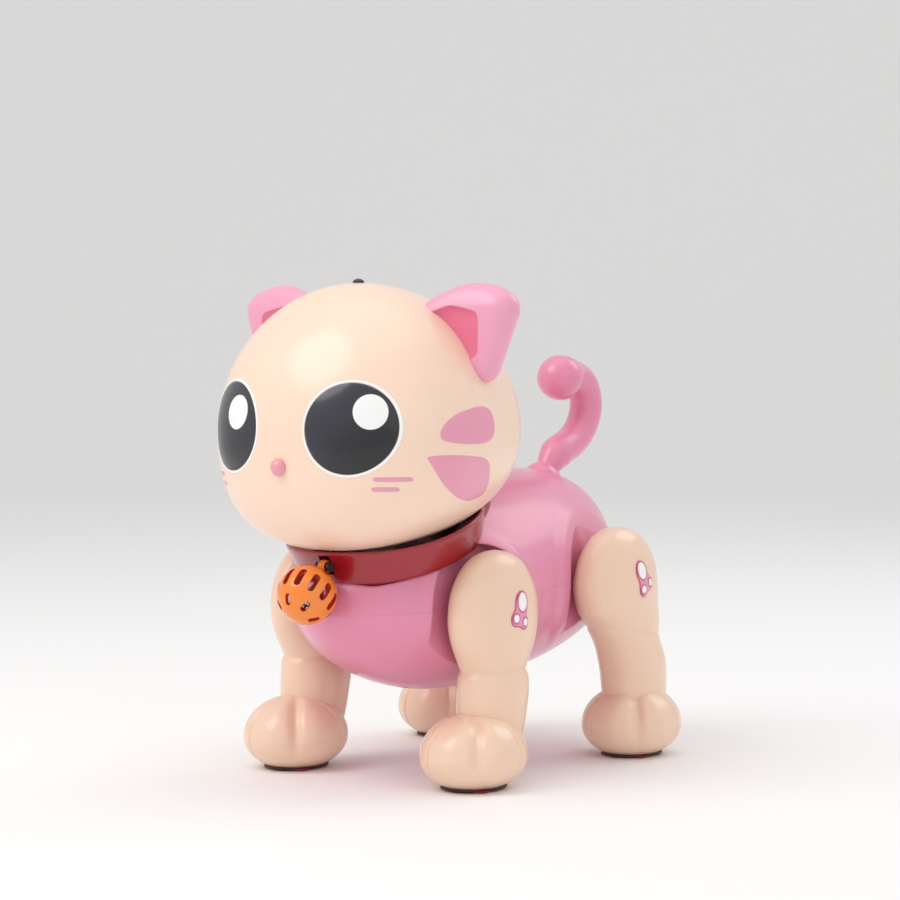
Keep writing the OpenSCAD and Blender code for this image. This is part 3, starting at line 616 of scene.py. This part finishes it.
body = skin("body_shell", with_rings(body_grid(np.linspace(1.5, 178.5, 300),
                                                np.linspace(0, 360, 320, endpoint=False))))
tools = []
for tag, (side, ay, az, middle) in LEGS.items():
    face = middle - 13.2
    x0, x1 = (face, 90) if side > 0 else (-90, -face)
    tools.append(turned("pocket", [(27, x0), (27, x1)], "x", (0, ay, az), 96))
    tools.append(block("room", (x0, ay - 22, az - 60), (x1, ay + 27, az)))
bowl = [(0.01, 140.6 - 49.4)]
bowl += [(65.5 * math.sin(math.radians(a)), 140.6 - 50.5 * math.cos(math.radians(a)))
         for a in range(10, 91, 5)]
tools.append(turned("bowl", bowl + [(65.5, 200)], at=(0, -62, 0), cols=96))
seat = turned("seat", [(38.2, 0), (38.2, 60)], cols=96)
tilt = math.radians(17.5)
for v in seat.data.vertices:
    x, y, z = v.co.x, v.co.y - SHIFT * 0.001, v.co.z
    v.co = (x, y * math.cos(tilt) - z * math.sin(tilt) + (-50 + SHIFT) * 0.001,
            y * math.sin(tilt) + z * math.cos(tilt) + 0.0902)
tools.append(seat)
door_box = block("door_box", (-17, -27, 20), (17, 25, 36.6))
tools.append(block("door_gap", (-17.3, -27.3, 20), (17.3, 25.3, 37.4)))
for x, y, z in ((27, -8, 55.2), (-27, -8, 55.2), (14, 74, 57.2), (-14, 74, 57.2)):
    tools.append(turned("screw_hole", [(3, z - 40), (3, z)], at=(x, y, 0), cols=40))
tools.append(block("switch_slot", (-4.9, -46.4, 20), (4.9, -41.6, 44)))
tools.append(block("socket_slot", (-5, 58, 30), (5, 62.2, 52)))
for k in range(6):
    a = math.radians(60 * k)
    tools.append(turned("sound_hole", [(0.9, 30), (0.9, 47.5)],
                        at=(6 * math.cos(a), 41 + 6 * math.sin(a), 0), cols=24))
tools.append(turned("tail_hole", [(9.8, 104), (9.8, 140)], at=(0, 58, 0), cols=64))
door = skin("battery_door_look", body_grid(np.linspace(1.5, 178.5, 200),
                                           np.linspace(0, 360, 240, endpoint=False)))
boolean(body, tools, sharp=32)
finish_piece(body, "torso", M["pink"], ["body_upper_shell", "body_lower_shell"])
boolean(door, [door_box], "INTERSECT", 32)
boolean(door, [turned("hole", [(3, 20), (3, 35.2)], at=(0, 22, 0), cols=40)], sharp=32)
finish_piece(door, "battery_hatch", M["pink"], ["battery_door"])


# ---------------------------------------------------------------- legs
def leg_points(tag, cols=160, steps=9):
    """The thigh and shin; the shin runs down inside the foot."""
    side, ay, az, middle = LEGS[tag]
    stations = [s for s in (FRONT if ay < 0 else REAR) if s[0] > 33]
    low = [-1.4, 15.4] if ay < 0 else [14.6, 15.8]
    stations = [[17, low[0], low[1] - 2, 11], [25, low[0], low[1], 12.2]] + stations
    rows = smooth_rows(stations, steps)
    ang = np.linspace(0, 2 * np.pi, cols, endpoint=False)
    c, s = spow(np.cos(ang), 0.92), spow(np.sin(ang), 0.98)
    z = np.repeat(rows[:, :1], cols, 1)
    dx, dy = rows[:, 3:4] * c, rows[:, 2:3] * s
    tilt = 0.0 if ay < 0 else -0.16
    crease = (45.6 if ay < 0 else 51.6) + tilt * (dy - 7) + 0.005 * dx ** 2
    dent = -0.4 * np.exp(-((z - crease) / 0.8) ** 2)
    length = np.hypot(dx, dy) + 1e-6
    x, y = middle + dx * (1 + dent / length), ay + rows[:, 1:2] + dy * (1 + dent / length)
    return np.stack([side * x, y, z], -1)


def foot_points(tag, cols=288, rows=150):
    """A round foot: two toe bulges with a soft valley, and a fine seam on either side.
    The pattern points the same way on all four feet, so right feet aren't mirrored."""
    side, ay, az, middle = LEGS[tag]
    ym = ay + (-13.3 if ay < 0 else 12.7)
    rise = np.radians(np.linspace(-62.5, 89.5, rows))[:, None]
    ang = np.linspace(0, 2 * np.pi, cols, endpoint=False)[None, :]
    up = rise > 0
    flat = np.cos(rise) ** np.where(up, 0.96, 0.86)
    dx, dy = 20.3 * flat * np.cos(ang), 23.4 * flat * np.sin(ang)
    z = 13.4 + np.where(up, 16.6, 13.75) * np.sin(rise) * np.ones_like(ang)
    bearing = np.degrees(np.arctan2(dx * 1.1, -dy))
    off = (bearing - 42 + 180) % 360 - 180
    wide = np.degrees(np.cos(rise)) / 57.3 + 0.15
    body = step(1.4, 6, z) * np.cos(rise)
    dent = -3.0 * np.exp(-(off * wide / 8.0) ** 2) * step(0, 22, z)
    dent += 0.6 * np.exp(-((np.abs(off) - 27) / 13.0) ** 2)
    for groove in (-60, 60):
        dent += -0.8 * np.exp(-((off - groove) * wide / 1.2) ** 2) * step(3, 8, z)
    dent = dent * body
    norm = np.sqrt(dx ** 2 + dy ** 2 + (z - 13.4) ** 2) + 1e-6
    x, y = middle + dx * (1 + dent / norm), ym + dy * (1 + dent / norm)
    z = np.where(z > 13.4, z + (z - 13.4) * dent / norm, z)
    return np.stack([x if side > 0 else x - 2 * middle, y, np.maximum(z, 1.2)], -1)


for tag in LEGS:
    leg = skin("leg_look_" + tag, leg_points(tag))
    finish_piece(leg, "leg_" + tag, M["leg"], ["leg_outer_" + tag, "leg_inner_" + tag])
    foot = skin("foot_look_" + tag, foot_points(tag))
    finish_piece(foot, "leg_" + tag, M["leg"])
# a seam round the feet at z = 12.2, with painted shade along it
add_line(M["leg"], (0.0, 0.0, 1.0), 12.2, 0.3, 0.1, 0.95)


# ---------------------------------------------------------------- soles and badges
def oval(cx, cy, a, b, turn, n=96):
    t = np.linspace(0, 2 * np.pi, n, endpoint=False)
    u, v = a * np.cos(t), b * np.sin(t)
    c, s = math.cos(turn), math.sin(turn)
    return np.stack([cx + u * c - v * s, cy + u * s + v * c], -1)


def blob(balls, grow, n=144, pull=2.2):
    """Outline of circles melted together, as distances from their middle."""
    out = []
    for k in range(n):
        a = 2 * np.pi * k / n
        d = np.array([math.cos(a), math.sin(a)])
        lo, hi = 0.5, 20.0
        for _ in range(30):
            mid = (lo + hi) / 2
            field = sum(math.exp(-(math.hypot(mid * d[0] - x, mid * d[1] - y) - r) / pull)
                        for x, y, r in balls)
            lo, hi = (mid, hi) if field > 1 else (lo, mid)
        out.append(d * (lo + grow))
    return np.array(out)


def leg_side_x(tag, y, z):
    """Outer x of a thigh at a place seen from the side."""
    side, ay, az, middle = LEGS[tag]
    rows = np.array(FRONT if ay < 0 else REAR)
    ym = np.interp(z, rows[:, 0], rows[:, 1])
    hd = np.interp(z, rows[:, 0], rows[:, 2])
    hw = np.interp(z, rows[:, 0], rows[:, 3])
    s = np.clip(np.abs(y - ay - ym) / hd, 0, 0.99) ** (1 / 0.97)
    return middle + hw * np.sqrt(1 - s * s) ** 0.9


def badge_piece(tag, name, outline, rings, material, lean, nodes=()):
    side, ay, az, middle = LEGS[tag]
    cy, cz = ay + 2.0, az + (3.0 if ay < 0 else 5.3)
    outline = outline * 1.22
    c, s = math.cos(lean), math.sin(lean)
    centre = outline.mean(0)
    grid = []
    for share, height in rings:
        p = centre + (outline - centre) * share
        y = cy + p[:, 0] * c - p[:, 1] * s
        z = cz + p[:, 0] * s + p[:, 1] * c
        x = leg_side_x(tag, y, z) + height
        grid.append(np.stack([side * x, y, z], -1))
    obj = skin(f"{name}_{tag}", np.array(grid), 50)
    return finish_piece(obj, "leg_" + tag, material, nodes)


PLATE = [(0, 1.6, 3.3), (-2.9, -4.9, 1.6), (2.7, -5.2, 1.5)]
for tag, (side, ay, az, middle) in LEGS.items():
    lean = math.radians(-13 if ay < 0 else 28)
    # the edge ring and the hollow rings round the pads take the darker pink of painted shade
    badge_piece(tag, "badge_shaded_edge", blob(PLATE, 0.0),
                [(0.02, 0.36), (0.8, 0.36), (0.95, 0.34), (1.0, 0.2), (1.0, -1), (0.02, -1)],
                M["badge_shaded_edge"], lean, ["paw_badge_" + tag])
    badge_piece(tag, "badge_plate", blob(PLATE, -0.55),
                [(0.02, 0.62), (0.85, 0.62), (0.96, 0.56), (1.0, 0.4), (1.0, -0.6), (0.02, -0.6)],
                M["badge"], lean)
    for k, (y, z, a, b) in enumerate(((0, 1.6, 2.5, 3.1), (-2.6, -4.3, 1.45, 1.35),
                                      (2.5, -4.6, 1.2, 1.3))):
        badge_piece(tag, f"badge_hollow_{k}", oval(y, z, a + 0.55, b + 0.55, 0),
                    [(0.02, 0.66), (0.9, 0.66), (1.0, 0.6), (1.0, -0.4), (0.02, -0.4)],
                    M["badge_shaded_edge"], lean)
        badge_piece(tag, f"badge_pad_{k}", oval(y, z, a, b, 0),
                    [(0.02, 1.0), (0.5, 0.97), (0.8, 0.88), (0.95, 0.74), (1.0, 0.5),
                     (1.0, -0.4), (0.02, -0.4)], M["white"], lean)

for tag, (side, ay, az, middle) in LEGS.items():
    y0 = ay + (-12.5 if ay < 0 else 13.5)
    t = np.linspace(0, 2 * np.pi, 72, endpoint=False)
    base = [np.stack([side * (middle + 11.8 * g * np.cos(t)), y0 + 14.6 * g * np.sin(t),
                      np.full(72, h)], -1)
            for g, h in ((0.02, 1.6), (1.0, 1.6), (1.0, 0.75), (0.94, 0.6), (0.02, 0.6))]
    obj = skin("sole_base_" + tag, np.array(base), 40)
    finish_piece(obj, "leg_" + tag, M["base"], ["sole_" + tag])
    spots = [(0, 5.2, 7.6, 6.4)] + [(x, -9.4 if x == 0 else -6.8, 3.4, 3.6) for x in (-7.6, 0, 7.6)]
    for k, (x, y, a, b) in enumerate(spots):
        rings = [np.stack([side * (middle + x + a * g * np.cos(t)), y0 + y + b * g * np.sin(t),
                           np.full(72, h)], -1)
                 for g, h in ((0.02, 0.9), (1.0, 0.9), (1.0, 0.35), (0.92, 0.08), (0.8, 0.0),
                              (0.02, 0.0))]
        pad = skin(f"sole_pad_{k}_{tag}", np.array(rings), 40)
        finish_piece(pad, "leg_" + tag, M["sole"])


# ---------------------------------------------------------------- collar and bell
def collar_rings(n=192):
    rings = []
    tilt = math.radians(17.5)
    for i in range(n):
        a = 2 * math.pi * i / n
        s = math.sin(a)
        deep = 13.3 - 0.6 * s ** 2 - 3.5 * s ** 3
        prof = smooth_rows([[30, 0.2], [33, 0.15], [36.4, 0.25], [37.9, 1.2], [38.7, 0.3 * deep],
                            [39.6, 0.6 * deep], [40.4, 0.84 * deep], [40.5, 0.95 * deep],
                            [39.8, deep], [38.5, deep - 0.6], [36, deep - 2], [33, deep - 3.1],
                            [30, deep - 4.3]], 3)
        row = [(r * math.cos(a), r * s * math.cos(tilt) - h * math.sin(tilt) - 50,
                r * s * math.sin(tilt) + h * math.cos(tilt) + 90.2) for r, h in prof]
        rings.append(row)
    return np.array(rings)


collar = loop_skin("collar_look", collar_rings(), 50)
slot_cut = block("slot_cut", (-2.6, -96, 84.5), (2.6, -83.5, 92.0))
boolean(collar, [slot_cut], sharp=50)
finish_piece(collar, "torso", M["wine"], ["collar"])

BELL_PIN = Vector((0, -92.5, 87.7))
BELL = BELL_PIN + Vector((0, -10.6, -10.2))
bell_turn = Matrix.Rotation(math.radians(-46), 4, "X")


def put_on_bell(obj):
    """Moves an object drawn about the origin to the bell's place, eyelet towards the pin."""
    m = Matrix.Translation((BELL + Vector((0, SHIFT, 0))) * 0.001) @ bell_turn
    obj.data.transform(Matrix.Translation((0, -SHIFT * 0.001, 0)))
    obj.data.transform(m)
    return obj


def ball(name, r, cols=128, rows=72):
    rings = [[(r * math.sin(math.pi * k / rows) * math.cos(2 * math.pi * j / cols),
               r * math.sin(math.pi * k / rows) * math.sin(2 * math.pi * j / cols),
               -r * math.cos(math.pi * k / rows)) for j in range(cols)] for k in range(1, rows)]
    return skin(name, np.array(rings))


def slot_tool(turn, rise, length, width, grow=0.0):
    """A capsule-shaped punch through the bell's wall."""
    n = 16
    out = []
    half = (length - width) / 2
    w = width / 2 + grow
    for k in range(n + 1):
        a = -math.pi / 2 + math.pi * k / n
        out.append((half + w * math.cos(a), w * math.sin(a)))
    for k in range(n + 1):
        a = math.pi / 2 + math.pi * k / n
        out.append((-half + w * math.cos(a), w * math.sin(a)))
    rings = [[(x, v, u) for u, v in out] for x in (7.5, 16)]
    obj = skin("slot", np.array(rings))
    m = Matrix.Rotation(math.radians(turn), 4, "Z") @ Matrix.Rotation(math.radians(-rise), 4, "Y")
    obj.data.transform(Matrix.Translation((0, -SHIFT * 0.001, 0)))
    obj.data.transform(m)
    obj.data.transform(Matrix.Translation((0, SHIFT * 0.001, 0)))
    return obj


bell = ball("bell_look", 11.7)
slots = [slot_tool(15 + 30 * k, 0, 8, 2.8) for k in range(12)]
slots += [slot_tool(30 + 60 * k, rise, 4.6, 2.4) for k in range(6) for rise in (-50, 50)]
# the inner wall and the slot sides take the painted shade colour
inside = ball("inside", 10.1, 96, 48)
inside.data.materials.append(M["bell_shade"])
bell.data.materials.append(M["bell"])
for s in slots:
    s.data.materials.append(M["bell_shade"])
boolean(bell, [inside] + slots, sharp=40)
if len(bell.data.materials) < 2:
    bell.data.materials.append(M["bell_shade"])
put_on_bell(bell)
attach(bell, "bell")
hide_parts("bell_cage")
eyelet_rings = []
for i in range(48):
    a = 2 * math.pi * i / 48
    eyelet_rings.append([(1.7 * math.cos(b) * 0.95, (2.15 + 0.75 * math.sin(b)) * math.cos(a),
                          (2.15 + 0.75 * math.sin(b)) * math.sin(a))
                         for b in np.linspace(0, 2 * np.pi, 20, endpoint=False)])
eyelet = loop_skin("bell_eyelet", np.array(eyelet_rings) + np.array(BELL_PIN))
finish_piece(eyelet, "bell", M["bell"])
neck = put_on_bell(turned("bell_neck", [(2.6, 10.6), (2.0, 11.3), (1.6, 12.0), (1.5, 12.7)],
                          cols=40))
finish_piece(neck, "bell", M["bell"])


# ---------------------------------------------------------------- tail
TAIL = [(3.5, 4.5), (11.5, 12), (23, 16.8), (31.2, 23.2), (35.4, 32.5), (32.4, 41.6), (24, 46),
        (14.5, 45.4)]
TAIL_R, ROOT_R = 7.2, 4.4                       # full radius, and radius where it leaves the root
path = np.vstack([[(0.0, -3.0), (1.6, 0.8)], smooth_rows(TAIL, 16)])
length = np.concatenate([[0], np.cumsum(np.linalg.norm(np.diff(path, axis=0), axis=1))])
end = length[-1]
rings = []
cols = 64
ang = np.linspace(0, 2 * np.pi, cols, endpoint=False)
count = 160
bulb = 10.0                                     # radius of the ball at the tip
melt = 1.6                                      # how softly tail and ball run together
for k in range(count):
    s = (end + bulb * 0.995) * k / (count - 1)
    y, z = (np.interp(min(s, end), length, path[:, i]) for i in (0, 1))
    a, b = max(0, min(s, end) - 1.2), min(end, s + 1.2)
    d = np.array([np.interp(b, length, path[:, i]) - np.interp(a, length, path[:, i])
                  for i in (0, 1)])
    d /= np.linalg.norm(d) + 1e-9
    gap = s - end
    r = min(TAIL_R, ROOT_R + 0.27 * max(0, s - 8.3))
    if gap > -bulb:
        sphere = math.sqrt(max(1e-4, bulb ** 2 - gap ** 2))
        if gap > 0:
            r = sphere
        else:
            r = melt * math.log(math.exp(TAIL_R / melt) + math.exp(sphere / melt)) - 0.25
            r = min(r, bulb) if gap > -4 else r
    extra = max(0.0, gap)
    y, z = y + d[0] * extra, z + d[1] * extra
    rings.append([(r * math.cos(t), 58 + y + r * math.sin(t) * d[1],
                   114.2 + z - r * math.sin(t) * d[0]) for t in ang])
tail = skin("tail_look", np.array(rings), 60)
finish_piece(tail, "tail", M["tail"], ["tail"])
root_arc = [(9 * math.sin(math.radians(a)), -9 * math.cos(math.radians(a)))
            for a in range(10, 175, 6)]
root = turned("tail_root", [(0.05, -9)] + root_arc + [(0.05, 9)], at=(0, 58, 114.2), cols=64)
finish_piece(root, "tail", M["tail"])


# ---------------------------------------------------------------- floor, light, camera
def floor_material():
    m = bpy.data.materials.new("studio_floor")
    m.use_nodes = True
    nt = m.node_tree
    b = nt.nodes["Principled BSDF"]
    b.inputs["Roughness"].default_value = 0.7
    b.inputs["Specular IOR Level"].default_value = 0.2
    n = nt.nodes.new("ShaderNodeTexNoise")
    n.inputs["Scale"].default_value = 3.0
    mix = nt.nodes.new("ShaderNodeMix")
    mix.data_type = "RGBA"
    mix.inputs[6].default_value = (0.93, 0.93, 0.935, 1)
    mix.inputs[7].default_value = (0.95, 0.95, 0.95, 1)
    nt.links.new(n.outputs["Fac"], mix.inputs[0])
    nt.links.new(mix.outputs[2], b.inputs["Base Color"])
    return m


def backdrop():
    """A floor that curves up into a wall well behind the toy, facing the camera."""
    line = [(1.4 * math.cos(a), 1.4 * math.sin(a)) for a in np.radians(np.linspace(-90, 0, 40))]
    side = [(-6.0, 0.0), (2.0, 0.0)] + [(2.0 + x, 1.4 + z) for x, z in line] + [(3.4, 6.0)]
    turn = math.radians(36.21)
    pts, faces = [], []
    for d, z in side:
        for w in (-7.0, 7.0):
            pts.append((-math.sin(turn) * d + math.cos(turn) * w,
                        math.cos(turn) * d + math.sin(turn) * w, z))
    for i in range(len(side) - 1):
        faces.append((2 * i, 2 * i + 1, 2 * i + 3, 2 * i + 2))
    mesh = bpy.data.meshes.new("studio_floor")
    mesh.from_pydata(pts, [], faces)
    obj = bpy.data.objects.new("studio_floor", mesh)
    bpy.context.scene.collection.objects.link(obj)
    for f in mesh.polygons:
        f.use_smooth = True
    mesh.materials.append(floor_material())


backdrop()


def area_light(name, at, target, size, power, colour=(1, 1, 1)):
    data = bpy.data.lights.new(name, "AREA")
    data.shape, data.size, data.energy, data.color = "DISK", size, power, colour
    obj = bpy.data.objects.new(name, data)
    obj.location = at
    obj.rotation_euler = (Vector(target) - Vector(at)).to_track_quat("-Z", "Y").to_euler()
    bpy.context.scene.collection.objects.link(obj)
    return obj


area_light("key", (-0.35, -0.75, 0.95), (0, 0, 0.12), 0.8, 4.4, (1.0, 0.99, 0.97))
area_light("fill", (1.1, -0.5, 0.55), (0, 0, 0.1), 1.0, 0.8, (0.97, 0.98, 1.0))
area_light("rim", (0.35, 0.9, 0.85), (0, 0, 0.12), 0.7, 1.8)
area_light("top", (0.0, -0.1, 1.3), (0, 0, 0), 1.3, 2.4)
world = bpy.data.worlds.new("studio")
world.use_nodes = True
world.node_tree.nodes["Background"].inputs[0].default_value = (1.0, 0.99, 0.98, 1)
world.node_tree.nodes["Background"].inputs[1].default_value = 0.72
bpy.context.scene.world = world

camera = bpy.data.objects.new("camera", bpy.data.cameras.new("camera"))
bpy.context.scene.collection.objects.link(camera)
turn, lift = math.radians(36.21), math.radians(2.43)
back = Vector((math.sin(turn) * math.cos(lift), -math.cos(turn) * math.cos(lift), math.sin(lift)))
right = Vector((math.cos(turn), math.sin(turn), 0))
up = back.cross(right)
camera.matrix_world = Matrix(((right.x, up.x, back.x, 0.6493), (right.y, up.y, back.y, -0.88473),
                              (right.z, up.z, back.z, 0.1772), (0, 0, 0, 1)))
camera.data.sensor_width = 36.0
camera.data.lens = 105.9
camera.data.clip_end = 20
bpy.context.scene.camera = camera
bpy.context.scene.view_settings.view_transform = "Standard"
